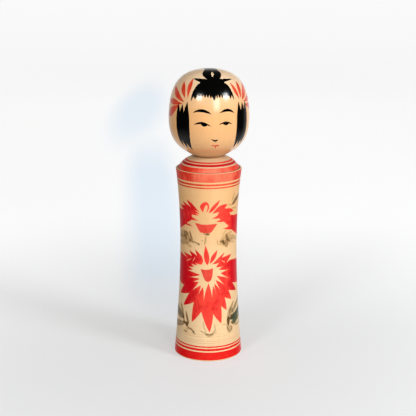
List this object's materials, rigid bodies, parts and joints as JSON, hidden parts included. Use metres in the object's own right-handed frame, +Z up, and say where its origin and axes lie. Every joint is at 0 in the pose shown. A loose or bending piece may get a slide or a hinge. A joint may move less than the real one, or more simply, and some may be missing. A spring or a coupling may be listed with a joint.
{
  "type": "kokeshi doll",
  "caption": "Turned wooden figure: a waisted cylindrical body with a domed shoulder, and a rounded head that turns on a captive tenon.",
  "frame": {"origin": "middle of the flat base that the doll stands on", "axes": "+Z up along the turning axis, -Y the side that the painted face and flowers look towards, +X to the right of someone facing the doll"},
  "size_m": [0.066, 0.066, 0.242],
  "materials": {
    "body_wood": "satin waxed turned wood with painted rings, flowers and leaves",
    "head_wood": "polished waxed turned wood with painted hair and face"
  },
  "bodies": {
    "body": {"body": "body_wood"},
    "head": {"head": "head_wood"}
  },
  "joints": [
    {"name": "head_turn", "type": "hinge", "parent": "body", "child": "head", "pos_m": [0, 0, 0.16], "axis": [0, 0, 1], "continuous": true}
  ]
}
